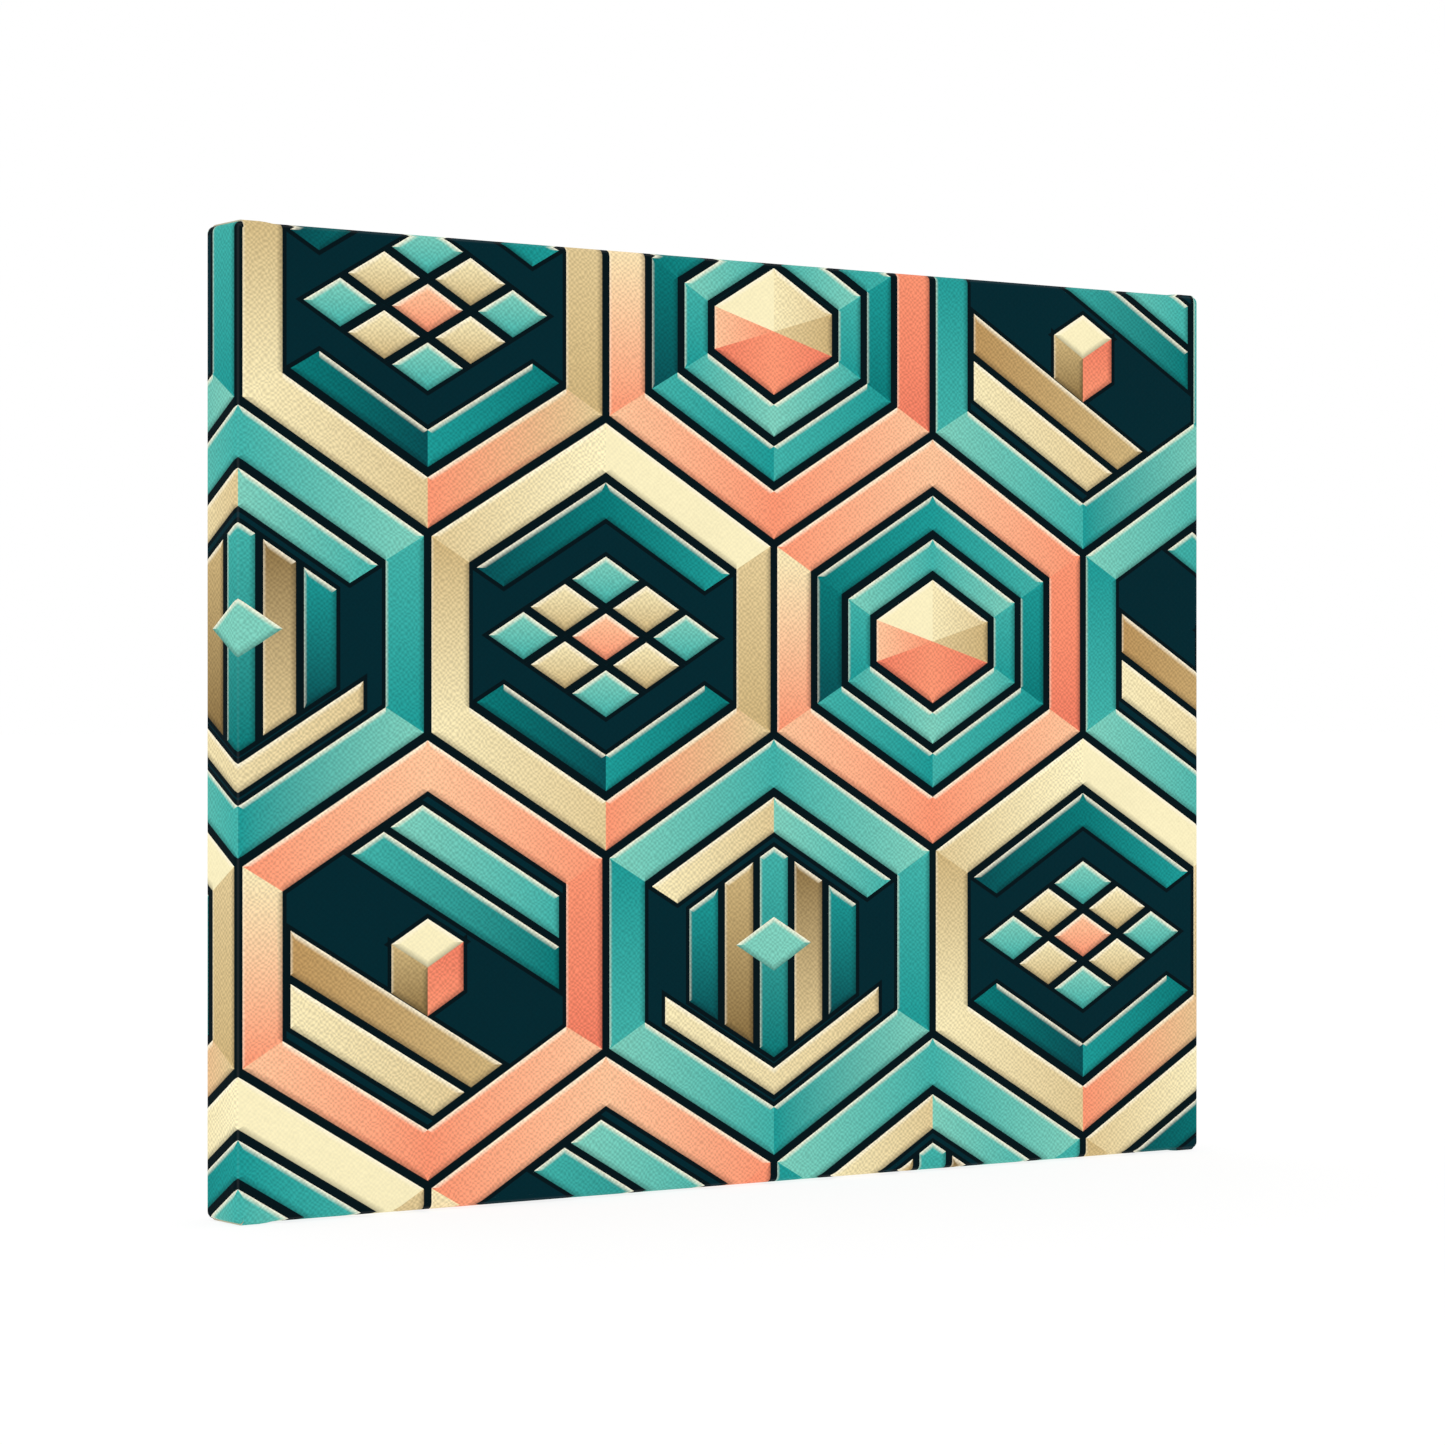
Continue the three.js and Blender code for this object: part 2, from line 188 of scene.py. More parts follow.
def panel(points, ink, to, fade="S", plain=()):
    """Prints one shape, its corners clockwise as seen: its colour runs from ink to the second ink
    in the direction of fade. Edges numbered in plain have no strip along them."""
    points = np.array(points, float)
    direction = np.array(FADES[fade])
    along = points @ direction
    low, span = along.min(), np.ptp(along)
    first, last = LINEAR[ink], LINEAR[to]
    strips = []
    for i, (p, q) in enumerate(zip(points, np.roll(points, -1, 0))):
        dx, dy = q - p
        if i in plain:
            continue
        upper = dx > 0 and abs(abs(dy / dx) - SLOPE) < SLOPE_SLACK
        left = abs(dx) < 0.01 and dy < -SHORT
        tint, share, width = GLOW if upper else SHINE if left else SHADE
        inner = offset(points, -width)
        j = (i + 1) % len(points)
        strips.append(dict(points=np.array([p, q, inner[j], inner[i]]), tint=tint, share=share,
                           start=p, inward=np.array([-dy, dx]) / math.hypot(dx, dy) / width))
    shape = dict(points=points, a=first, b=last, axis=direction / span, zero=low / span,
                 tooth=TOOTH["pale" if ink == "pale" else "ink"], strips=strips)
    rims.append(dict(shape, points=offset(points, RIM_WIDTH), a=LINEAR["line"],
                     b=LINEAR["line"], tooth=TOOTH["line"], strips=[]))
    shapes.append(shape)


print("inks", len(INK))

# %% [markdown]
# ## Cells, bars and blocks
# Everything in the picture is built on one cell: a hexagon with upright sides and slanted roof
# and floor. Insetting it by a bar's width gives the next ring in, so all bars stay parallel and
# the black between them is the same everywhere. A block seen from a corner is three panels.

# %% A cell and its rings
PITCH = 122.5  # from one cell to the next along a row
UPRIGHT = 29.0  # half of a cell's upright side
TAPER = math.hypot(1, SLOPE) - SLOPE  # what each millimetre of inset takes off that half
FRAME = 12.6  # a frame's bar
GAP = 2.6  # the black between two bars
print("cell", PITCH, "x", round(2 * (UPRIGHT + SLOPE * PITCH / 2), 1), "mm")


def hexagon(at, inset):
    """Corners of a cell's outline moved inwards, clockwise from the top."""
    x, y = at
    w, h = PITCH / 2 - inset, UPRIGHT - TAPER * inset
    top = h + SLOPE * w
    return [(x, y - top), (x + w, y - h), (x + w, y + h),
            (x, y + top), (x - w, y + h), (x - w, y - h)]


def ring(at, inset, thick, inks, sides=range(6)):
    """Bars round a cell, one to each side clockwise from the upper right, in these inks."""
    outer, inner = hexagon(at, inset), hexagon(at, inset + thick)
    for side in sides:
        end = (side + 1) % 6
        first, last = inks[side % len(inks)].split()
        panel([outer[side], outer[end], inner[end], inner[side]], first, last,
              "S" if side % 3 == 1 else "E", plain=(1, 3))


# %% Diamonds, chevrons and blocks
def diamond(at, size, first, last):
    """A flat diamond, size from its middle to each side."""
    x, y = at
    rise = SLOPE * size
    panel([(x, y - rise), (x + size, y), (x, y + rise), (x - size, y)], first, last)


def chevron(at, size, thick, first, last):
    """A bar that dips to a point under at."""
    x, y = at
    high = y - SLOPE * size
    panel([(x - size, high), (x, y), (x + size, high), (x + size, high + thick), (x, y + thick),
           (x - size, high + thick)], first, last, "E")


def cube(at, size, tall, top, left, right):
    """A block seen from a corner, whose three faces meet at a point."""
    x, y = at
    rise = SLOPE * size
    panel([(x, y - 2 * rise), (x + size, y - rise), (x, y), (x - size, y - rise)], *top.split())
    panel([(x - size, y - rise), (x, y), (x, y + tall), (x - size, y + tall - rise)],
          *left.split(), plain=(0,))
    panel([(x, y), (x + size, y - rise), (x + size, y + tall - rise), (x, y + tall)],
          *right.split(), plain=(0, 3))


# %% Parallel bars
def cut_to(points, outline):
    """The part of a shape inside a convex outline, or nothing."""
    for a, b in zip(np.array(outline), np.roll(outline, -1, 0)):
        if not len(points):
            break
        points = np.array(points)
        side = (points - a) @ np.array([a[1] - b[1], b[0] - a[0]])
        kept = []
        for p, q, s, t in zip(points, np.roll(points, -1, 0), side, np.roll(side, -1)):
            if s >= 0:
                kept.append(p)
            if s * t < 0:
                kept.append(p + (q - p) * s / (s - t))
        points = kept
    return points


def slats(at, inset, thick, inks, falling):
    """Parallel bars across a cell, falling to the right or upright; a blank leaves the ground."""
    x, y = at
    outline = hexagon(at, inset)
    for i, pair in enumerate(inks):
        near = (i - len(inks) / 2) * (thick + GAP) + GAP / 2
        if falling:
            drop = SLOPE * PITCH
            corners = [(x - PITCH, y + near - drop), (x + PITCH, y + near + drop),
                       (x + PITCH, y + near + thick + drop), (x - PITCH, y + near + thick - drop)]
        else:
            corners = [(x + near, y - PITCH), (x + near + thick, y - PITCH),
                       (x + near + thick, y + PITCH), (x + near, y + PITCH)]
        corners = cut_to(corners, outline)
        if pair and len(corners) > 2:
            panel(corners, *pair.split(), "E" if falling else "S")


# %% [markdown]
# ## Four fillings
# Each cell gets one of four simple fillings inside its frame: a faceted rosette in two rings, a
# lattice of diamonds, slats that fall to the right, or upright pipes. Inks are named in pairs,
# from and to, and run across a shape as a sprayed fade would.

# %% Rosette and lattice
SECOND_BAR = 9.2  # bar of a cell's second ring
THIRD_BAR = 8.4  # and of its third
SECOND = GAP / 2 + FRAME + GAP  # inset of the second ring
THIRD = SECOND + SECOND_BAR + GAP  # and of the third
LOZENGE = 14.4  # between two diamonds of the lattice, across
print("rings inset", round(SECOND, 1), "and", round(THIRD, 1), "mm")


def rosette(at):
    """Two closed rings round a six-sided stone cut in six facets."""
    ring(at, SECOND, SECOND_BAR, ["teal aqua", "teal deep", "aqua teal", "aqua teal",
                                  "deep abyss", "deep teal"])
    ring(at, THIRD, THIRD_BAR, ["aqua mint", "aqua teal", "mint aqua"])
    corners = hexagon(at, THIRD + THIRD_BAR + GAP)
    for side, inks in enumerate(["cream sand", "sand khaki", "coral ember", "ember coral",
                                 "peach coral", "pale pale"]):
        panel([at, corners[side], corners[(side + 1) % 6]], *inks.split(), "E", plain=(0, 2))


def argyle(at):
    """Nine diamonds, three by three, between a roof and a valley."""
    ring(at, SECOND, SECOND_BAR,
         ["deep teal", "", "teal deep", "deep abyss", "", "abyss deep"], (5, 0, 2, 3))
    for i in range(3):
        for j in range(3):
            inks = ("mint", "aqua") if (i + j) % 2 == 0 else ("cream", "khaki")
            if i == j == 1:
                inks = ("peach", "coral")
            diamond((at[0] + (i - j) * LOZENGE, at[1] + (i + j - 2) * SLOPE * LOZENGE),
                    LOZENGE - GAP, *inks)


# %% Slats and pipes
def louvre(at):
    """Slats that fall to the right, with a block in the open middle."""
    slats(at, SECOND, 12.4, ["mint aqua", "aqua deep", "", "", "tan khaki", "cream sand"],
          falling=True)
    cube((at[0], at[1] + 2), 12, 14, "pale pale", "khaki brown", "ember coral")


def organ(at):
    """A roof over upright pipes, with a diamond before them and a bar below."""
    ring(at, SECOND, SECOND_BAR, ["mint aqua", "", "", "", "", "cream sand"], (5, 0))
    slats((at[0], at[1] + 1.5), THIRD, 10.4,
          ["teal abyss", "khaki brown", "aqua deep", "brown sand", "teal abyss"], falling=False)
    diamond((at[0], at[1] - 1), 14, "mint", "mint")
    chevron((at[0], at[1] + 37), 40, 8, "cream", "sand")


FILLINGS = (argyle, rosette, louvre, organ)
print("fillings", [filling.__name__ for filling in FILLINGS])

# %% The honeycomb
# Inks of a frame's six bars, clockwise from the upper right.
FRAMES = {
    "cream": ["pale pale", "sand khaki", "coral sand", "cream sand", "khaki cream", "sand pale"],
    "coral": ["peach coral", "coral ember", "coral peach", "peach coral", "cream coral",
              "coral peach"],
    "mint": ["aqua mint", "aqua teal", "teal mint", "mint aqua", "teal aqua", "mint aqua"],
}
ROW = 2 * UPRIGHT + SLOPE * PITCH / 2  # from one row to the next
FIRST_ROW = 20.5  # y of the middle of the first row
for row in range(4):
    for column in range(-1, 4):
        at = ((column + (row + 1) % 2 / 2) * PITCH, FIRST_ROW + row * ROW)
        ring(at, GAP / 2, FRAME, FRAMES[("cream", "coral", "mint")[(column + 2 * row) % 3]])
        FILLINGS[(column + 3 * row) % 4](at)
printed = rims + shapes
print("printed shapes", len(shapes))

# %% [markdown]
# ## Cutting the cloth
# The cloth is one sheet, cut like a plus sign: the face, four sides and four returns, with the
# corner squares out. It is meshed flat first. A constrained triangulation takes every ink edge,
# every fold and the cut edge as lines it must keep, so faces never straddle two inks. Past the
# folds at the top, right and bottom the picture is its own mirror image, as print shops wrap it.

# %% Sizes of the wrap
low, high = (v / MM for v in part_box("printed_canvas"))
WIDE, TALL, DEEP = high.x - low.x, high.z - low.z, high.y - low.y
FOLD_R = 2.1  # radius of the cloth over an edge of the bars
QUARTER = math.pi * FOLD_R / 2
SIDE = DEEP - 2 * FOLD_R  # flat part of a side
TURN = QUARTER + SIDE + QUARTER  # from the face's border to the start of the return
RETURN = 24 - FOLD_R  # flat part turned over behind
REACH = TURN + RETURN
BORDER = QUARTER / 2  # the face's border, from the fold line
TUCK = 6.0  # side cloth that runs on under the top and bottom folds
TUCK_EASE = 4.0  # the cloth over the tuck comes down again in this length
CLOTH = 0.42  # thickness
PRINT_EDGE = 22.0  # the ink stops this far past the folds, just behind the back edge
LEFT_BLEED = 4.0  # the picture runs on over the left side, and is mirrored only past its back
FOLD_SHEEN_AND_WEAR_WIDTH = 0.3  # to each side of a fold
FOLD_SHEEN_AND_WEAR = 0.016  # painted highlight along a fold, where its rounded edge catches light, and a little scuffing of the ink there
ARC_STEPS = 6  # lines round a quarter turn
RETURN_STEPS = 8  # lines along a return
GRID = 3.2  # between the lines across a return, so that staples can draw it down
GRID_ENDS = (30, 28)  # where those lines start and stop, from the two ends
BESIDE = 5  # a second line runs this far from each mitre of the top and bottom returns
print("face", round(WIDE, 2), "x", round(TALL, 2), "side", round(DEEP, 2), "mm")


# %% Ink lines
def reflect(points):
    """The place in the picture that prints at a place on the cloth."""
    x, y = points[:, 0].copy(), points[:, 1].copy()
    x = np.where(x < -DEEP, -2 * DEEP - x, x)
    x = np.where(x > WIDE, 2 * WIDE - x, x)
    y = np.abs(y)
    return np.stack([x, np.where(y > TALL, 2 * TALL - y, y)], 1)


def clipped(p, q, left, top, right, bottom):
    """The part of the line p to q inside a rectangle, or None."""
    t0, t1, d = 0.0, 1.0, q - p
    for axis, (lo, hi) in enumerate(((left, right), (top, bottom))):
        if abs(d[axis]) < 1e-9:
            if not lo <= p[axis] <= hi:
                return None
            continue
        a, b = sorted(((lo - p[axis]) / d[axis], (hi - p[axis]) / d[axis]))
        t0, t1 = max(t0, a), min(t1, b)
    return (p + d * t0, p + d * t1) if t1 - t0 > 1e-6 else None


def mirrored(segment, axis, at):
    """The mirror image of a line, across the given x or y."""
    a, b = (np.array(p) for p in segment)
    a[axis], b[axis] = 2 * at - a[axis], 2 * at - b[axis]
    return a, b


def ink_lines():
    """Every edge of every printed shape, and its mirror image past the folds."""
    lines = []
    outlines = [part["points"] for shape in printed for part in (shape, *shape["strips"])]
    for points in outlines:
        for p, q in zip(points, np.roll(points, -1, 0)):
            within = clipped(p, q, -DEEP, 0, WIDE, TALL)
            if within is None:
                continue
            lines.append(within)
            for axis, at, box in (
                (0, -DEEP, (-DEEP, 0, -DEEP + LEFT_BLEED, TALL)),
                (0, WIDE, (WIDE - PRINT_EDGE, 0, WIDE, TALL)),
                (1, 0, (-DEEP, 0, WIDE, PRINT_EDGE)),
                (1, TALL, (-DEEP, TALL - PRINT_EDGE, WIDE, TALL)),
            ):
                near = clipped(*within, *box)
                if near:
                    lines.append(mirrored(near, axis, at))
    return lines


ink_edges = ink_lines()
print("ink lines", len(ink_edges))


# %% Fold lines
def fold_lines():
    """Lines along the folds, close enough to turn them round, and across the corner folds."""
    lines, arc = [], [QUARTER * i / ARC_STEPS for i in range(ARC_STEPS + 1)]
    for s in arc + [QUARTER + SIDE + a for a in arc] + [QUARTER + SIDE / 2]:
        for flat, x in ((True, BORDER - s), (True, WIDE - BORDER + s),
                        (False, BORDER - s), (False, TALL - BORDER + s)):
            ends = (-REACH, (TALL if flat else WIDE) + REACH)
            lines.append(((x, ends[0]), (x, ends[1])) if flat else ((ends[0], x), (ends[1], x)))
    for s in (QUARTER, QUARTER + TUCK, QUARTER + TUCK + TUCK_EASE):
        for y in (BORDER - s, TALL - BORDER + s):
            lines.append(((-REACH, y), (BORDER, y)))
            lines.append(((WIDE - BORDER, y), (WIDE + REACH, y)))
    for step in range(2, 11, 2):  # where the flaps come down from the tuck
        for at in (BORDER + step, WIDE - (BORDER + step)):
            lines.append(((at, -REACH), (at, BORDER)))
            lines.append(((at, TALL - BORDER), (at, TALL + REACH)))
    return [(np.array(a, float), np.array(b, float)) for a, b in lines]


fold_edges = fold_lines()
print("fold lines", len(fold_edges))


# %% Lines on the returns
def return_lines():
    """The cut edge, the mitres behind, the edge of the ink, and a grid that can take a pull."""
    lines = []
    along = [TURN + RETURN * i / RETURN_STEPS for i in range(1, RETURN_STEPS + 1)]
    for s in along + [BORDER + PRINT_EDGE]:
        lines += [((BORDER - s, 0), (BORDER - s, TALL)),
                  ((WIDE - BORDER + s, 0), (WIDE - BORDER + s, TALL)),
                  ((0, BORDER - s), (WIDE, BORDER - s)),
                  ((0, TALL - BORDER + s), (WIDE, TALL - BORDER + s))]
    start, stop = GRID_ENDS
    for step in np.arange(start, WIDE - stop, GRID):
        lines += [((step, -TURN + BORDER), (step, BORDER - REACH)),
                  ((step, TALL - BORDER + TURN), (step, TALL - BORDER + REACH))]
    for step in np.arange(start, TALL - stop, GRID):
        lines += [((-TURN + BORDER, step), (BORDER - REACH, step)),
                  ((WIDE - BORDER + TURN, step), (WIDE - BORDER + REACH, step))]
    for x, sx in ((BORDER, 1), (WIDE - BORDER, -1)):
        for y, sy in ((BORDER, 1), (TALL - BORDER, -1)):
            # mitre of the top or bottom return, a line beside it, and the side return's mitre
            cut_edge = y - sy * (TURN + RETURN)
            for beside in (0, BESIDE):
                near = x + sx * beside
                lines.append(((near, y - sy * TURN), (x + sx * (RETURN + beside), cut_edge)))
            lines.append(((x - sx * (TURN + TUCK), y),
                          (x - sx * (TURN + RETURN), y + sy * (RETURN - TUCK))))
    return [(np.array(a, float), np.array(b, float)) for a, b in lines]


lines = ink_edges + fold_edges + return_lines()
print("all lines", len(lines))

# %% Cut it into triangles
GRAIN = 0.01  # points nearer than this are one, which keeps the triangulation sound
ends = np.round(np.array(lines).reshape(-1, 2) / GRAIN).astype(int)
places, at_place = np.unique(ends, axis=0, return_inverse=True)
edges = np.unique(np.sort(at_place.reshape(-1, 2), 1), axis=0)
edges = edges[edges[:, 0] != edges[:, 1]]
cut = delaunay_2d_cdt([Vector(p * GRAIN) for p in places], edges.tolist(), [], 0, GRAIN / 100)
flat = np.array([v[:] for v in cut[0]])
triangles = np.array(cut[2])
print("points", len(flat), "triangles", len(triangles))

# %% Keep the plus shape
# Parts: 0 is the face with its left and right sides, 1 the top flap and 2 the bottom flap.
middle = flat[triangles].mean(1)
mx, my = middle.T
past_side = np.maximum(BORDER - mx, mx - (WIDE - BORDER))  # how far round a side
past_end = np.maximum(BORDER - my, my - (TALL - BORDER))  # how far round the top or bottom
in_rows = past_end < 0
round_corner = (past_side > 0) & (past_end > 0) & (past_side < TURN)
round_corner &= (past_end < QUARTER) | (
    (past_end < QUARTER + TUCK) & (past_side > QUARTER) & (past_side < QUARTER + SIDE))
side_return = (past_side > TURN) & in_rows & (
    past_side - TURN < -past_end + TUCK) & (past_side < REACH)
region = np.full(len(triangles), -1)
region[in_rows & (past_side < TURN)] = 0
region[round_corner | side_return] = 0
flap = (past_side < 0) & (past_end > 0) & (past_end < REACH)
flap &= (past_end < TURN) | (past_end - TURN < -past_side)
region[flap & (my < TALL / 2)] = 1
region[flap & (my > TALL / 2)] = 2
kept = region >= 0
triangles, region, middle = triangles[kept], region[kept], middle[kept]
a, b, c = (flat[triangles[:, i]] for i in range(3))
double_area = (b[:, 0] - a[:, 0]) * (c[:, 1] - a[:, 1]) - (b[:, 1] - a[:, 1]) * (c[:, 0] - a[:, 0])
triangles = np.where((double_area < 0)[:, None], triangles, triangles[:, ::-1])


# %% Which ink each face takes
def inside(points, corners):
    """Whether each point is inside the outline."""
    x, y = points.T
    hit = np.zeros(len(points), bool)
    for (x1, y1), (x2, y2) in zip(corners, np.roll(corners, -1, 0)):
        if y1 == y2:
            continue
        crosses = (y1 > y) != (y2 > y)
        hit ^= crosses & (x < (x2 - x1) * (y - y1) / (y2 - y1) + x1)
    return hit


where = reflect(middle)  # of each face, in the picture
topmost = np.full(len(triangles), -1)
for index, shape in enumerate(printed):
    corners = shape["points"]
    lo, hi = corners.min(0), corners.max(0)
    near = np.flatnonzero(((where >= lo) & (where <= hi)).all(1))
    topmost[near[inside(where[near], corners)]] = index
print("faces with ink", int((topmost >= 0).sum()), "of", len(triangles))

# %% Mix each corner's colour
mx, my = middle.T
bare = np.maximum.reduce([-mx, mx - WIDE, -my, my - TALL]) > PRINT_EDGE
corner_ink = np.tile(LINEAR["ground"], (len(triangles), 3, 1))
tooth = np.full(len(triangles), TOOTH["ground"])
for index in np.unique(topmost[topmost >= 0]):
    shape, rows = printed[index], np.flatnonzero(topmost == index)
    at = reflect(flat[triangles[rows]].reshape(-1, 2)).reshape(-1, 3, 2)
    t = np.clip(at @ shape["axis"] - shape["zero"], 0, 1)[..., None]
    colour = shape["a"] * (1 - t) + shape["b"] * t
    for strip in shape["strips"]:
        hit = inside(where[rows], strip["points"])
        t = np.clip((at[hit] - strip["start"]) @ strip["inward"], 0, 1)[..., None]
        share = strip["share"] * (1 - t)
        colour[hit] = colour[hit] * (1 - share) + strip["tint"] * share
    corner_ink[rows] = colour
    tooth[rows] = shape["tooth"]
x, y = flat[triangles].transpose(2, 0, 1)
from_fold = np.minimum.reduce([np.abs(v) for v in (x, x - WIDE, y, y - TALL)])
# a faint painted highlight along the folds, where the rounded edges catch light, with a little
# scuffing
corner_ink[from_fold < FOLD_SHEEN_AND_WEAR_WIDTH] += FOLD_SHEEN_AND_WEAR
corner_ink[bare] = LINEAR["white"]
tooth[bare] = TOOTH["primer"]
print("bare primed faces", int(bare.sum()))

# %% [markdown]
# ## Wrapping it round the bars
# Every flat point now goes to its place on the object: across the face, round a quarter turn,
# along the side, round again and back on itself. The left and right sides are pulled first and
# carry on round the corner, and the top and bottom go over them and lift by the cloth under them.
# Behind, the returns meet in a mitre with the top and bottom ones above. Each staple draws the
# cloth down a little round its crown.

# %% One edge turned over
LIFT = 0.46  # the top and bottom flaps stand this far over the side cloth tucked under them
LIFT_FROM = 10.5  # from the flap's end to where it is down again
DIP = 0.16  # a staple draws the cloth down this far
DIP_REACH = 3.5  # and this far round its crown
CROWNS = []  # of each staple: its middle, across and up, and its width and height
for name in nodes:
    if name.startswith("staple_"):
        lo, hi = (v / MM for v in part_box(name))
        CROWNS.append(((lo.x + hi.x) / 2, (lo.z + hi.z) / 2, hi.x - lo.x, hi.z - lo.z))
print("staples", len(CROWNS))


def smooth(t):
    """Eases from 0 to 1."""
    t = np.clip(t, 0, 1)
    return t * t * (3 - 2 * t)


def turned(s):
    """Across an edge, s mm past the face's border: how far out, how deep, and the angle turned."""
    a = np.clip(s / FOLD_R, 0, math.pi / 2)
    b = np.clip((s - QUARTER - SIDE) / FOLD_R, 0, math.pi / 2)
    out = FOLD_R * np.sin(a) - FOLD_R * (1 - np.cos(b)) - np.maximum(s - TURN, 0)
    deep = FOLD_R * (1 - np.cos(a)) + np.clip(s - QUARTER, 0, SIDE) + FOLD_R * np.sin(b)
    return out, deep, a + b


# %% The wrap
def wrapped(points, part):
    """Place and normal on the object of flat points in one of the three parts."""
    x, y = points.T
    half_w, half_t = WIDE / 2 - FOLD_R, TALL / 2 - FOLD_R
    fx = (x - WIDE / 2) * half_w / (WIDE / 2 - BORDER)
    fz = (TALL / 2 - y) * half_t / (TALL / 2 - BORDER)
    if part == 0:
        sign = np.where(x < WIDE / 2, -1.0, 1.0)
        s = np.maximum(BORDER - x, x - (WIDE - BORDER))
        out, deep, angle = turned(np.maximum(s, 0))
        up = np.where(y < TALL / 2, 1.0, -1.0)
        over = np.maximum(BORDER - y, y - (TALL - BORDER))
        around = np.clip(over / FOLD_R, 0, math.pi / 2)
        tuck = np.maximum(over - QUARTER, 0)
        dx, dz = sign * np.cos(around), up * np.sin(around)
        px = np.where(s > 0, sign * (half_w - tuck) + out * dx, fx)
        pz = np.where(over > 0, up * half_t + out * dz, fz)
        normal = np.stack([np.sin(angle) * dx, -np.cos(angle), np.sin(angle) * dz], 1)
        lift = np.zeros(len(x))
    else:
        up = 1.0 if part == 1 else -1.0
        s = np.maximum(BORDER - y if part == 1 else y - (TALL - BORDER), 0)
        out, deep, angle = turned(s)
        px, pz = fx, up * (half_t + out)
        normal = np.stack([np.zeros(len(x)), -np.cos(angle), up * np.sin(angle)], 1)
        from_end = half_w - np.abs(px) - np.maximum(s - TURN, 0)
        lift = LIFT * smooth((LIFT_FROM - from_end) / TUCK_EASE) * smooth(s / QUARTER)
    place = np.stack([px, low.y + deep, TALL / 2 + pz], 1)
    pull = np.zeros(len(x))
    behind = deep > DEEP - 0.01
    for cx, cz, wide, tall in CROWNS:
        away = np.hypot(np.maximum(np.abs(place[:, 0] - cx) - wide / 2 + 1, 0),
                        np.maximum(np.abs(place[:, 2] - cz) - tall / 2 + 1, 0))
        pull = np.maximum(pull, np.where(behind, np.exp(-(away / DIP_REACH) ** 2), 0))
    return place + normal * (lift - DIP * pull)[:, None], normal


centre = np.array([[WIDE / 2, TALL / 2]])
print("the middle of the picture lands at", wrapped(centre, 0)[0][0].round(2), "mm")

# %% Wrap the three parts and join them
index_of = np.full((3, len(flat)), -1)
place, normal, uv = [], [], []
for part in range(3):
    mine = np.unique(triangles[region == part])
    p, n = wrapped(flat[mine], part)
    index_of[part, mine] = np.arange(len(mine)) + sum(len(q) for q in place)
    place.append(p)
    normal.append(n)
    uv.append(flat[mine])
place, normal, uv = np.concatenate(place), np.concatenate(normal), np.concatenate(uv)
faces = index_of[region[:, None], triangles]
_, first, joined = np.unique(np.round(place, 3), axis=0, return_index=True, return_inverse=True)
faces3 = joined.ravel()[faces]  # faces by place on the object, where the parts meet
proper = (faces3[:, 0] != faces3[:, 1]) & (faces3[:, 1] != faces3[:, 2]) & (
    faces3[:, 0] != faces3[:, 2])
faces, faces3, corner_ink, tooth = faces[proper], faces3[proper], corner_ink[proper], tooth[proper]
place, normal3 = place[first], normal[first]
print("wrapped", len(place), "points", len(faces3), "faces")

# %% The inner side and the cut edge
directed = np.concatenate([faces3[:, [0, 1]], faces3[:, [1, 2]], faces3[:, [2, 0]]])
key = directed[:, 0] * len(place) + directed[:, 1]
back_key = directed[:, 1] * len(place) + directed[:, 0]
rim = directed[~np.isin(key, back_key)]
count = len(place)
points = np.concatenate([place, place - normal3 * CLOTH]) * MM
rim_faces = np.stack([rim[:, 1], rim[:, 0], rim[:, 0] + count, rim[:, 1] + count], 1)
mesh = bpy.data.meshes.new("canvas_sheet")
mesh.from_pydata(points.tolist(), [], faces3.tolist() + (faces3[:, ::-1] + count).tolist()
                 + rim_faces.tolist())
outer = len(faces3)
print("cloth", len(mesh.vertices), "points", len(mesh.polygons), "faces", len(rim), "at the cut")

# %% Inks go on to the mesh
loops = len(mesh.loops)
ink = np.ones((loops, 4), np.float32)
ink[:, :3] = LINEAR["white"]
ink[:outer * 3, :3] = corner_ink.reshape(-1, 3)
teeth = np.full(len(mesh.polygons), TOOTH["primer"], np.float32)
teeth[:outer] = tooth
layer = mesh.attributes.new("ink", "FLOAT_COLOR", "CORNER")
layer.data.foreach_set("color", ink.ravel())
layer = mesh.attributes.new("tooth", "FLOAT", "FACE")
layer.data.foreach_set("value", teeth)
print("ink on", loops, "face corners")

# %% Flat maps: one for the weave, one for a bake
PRINT_SPREAD = WIDE + 2 * REACH  # the printed side fills the lower part of the bake's map
INNER_SCALE, INNER_FROM = 0.17, (0, 0.85)  # the plain inner side goes small, above it
RIM_AT = (0.5, 0.99)  # and the cut edge takes one spot at the top
flat_uv = np.zeros((loops, 2), np.float32)
flat_uv[:outer * 3] = uv[faces].reshape(-1, 2)
flat_uv[outer * 3:outer * 6] = uv[faces][:, ::-1].reshape(-1, 2)
weave = mesh.uv_layers.new(name="weave")
weave.data.foreach_set("uv", (flat_uv * MM).ravel())
baked = (flat_uv + REACH) / PRINT_SPREAD
baked[outer * 3:outer * 6] = baked[outer * 3:outer * 6] * INNER_SCALE + INNER_FROM
baked[outer * 6:] = RIM_AT
bake_map = mesh.uv_layers.new(name="OFBake")
bake_map.data.foreach_set("uv", baked.astype(np.float32).ravel())
print("maps", [m.name for m in mesh.uv_layers], "spread", round(PRINT_SPREAD, 1), "mm")

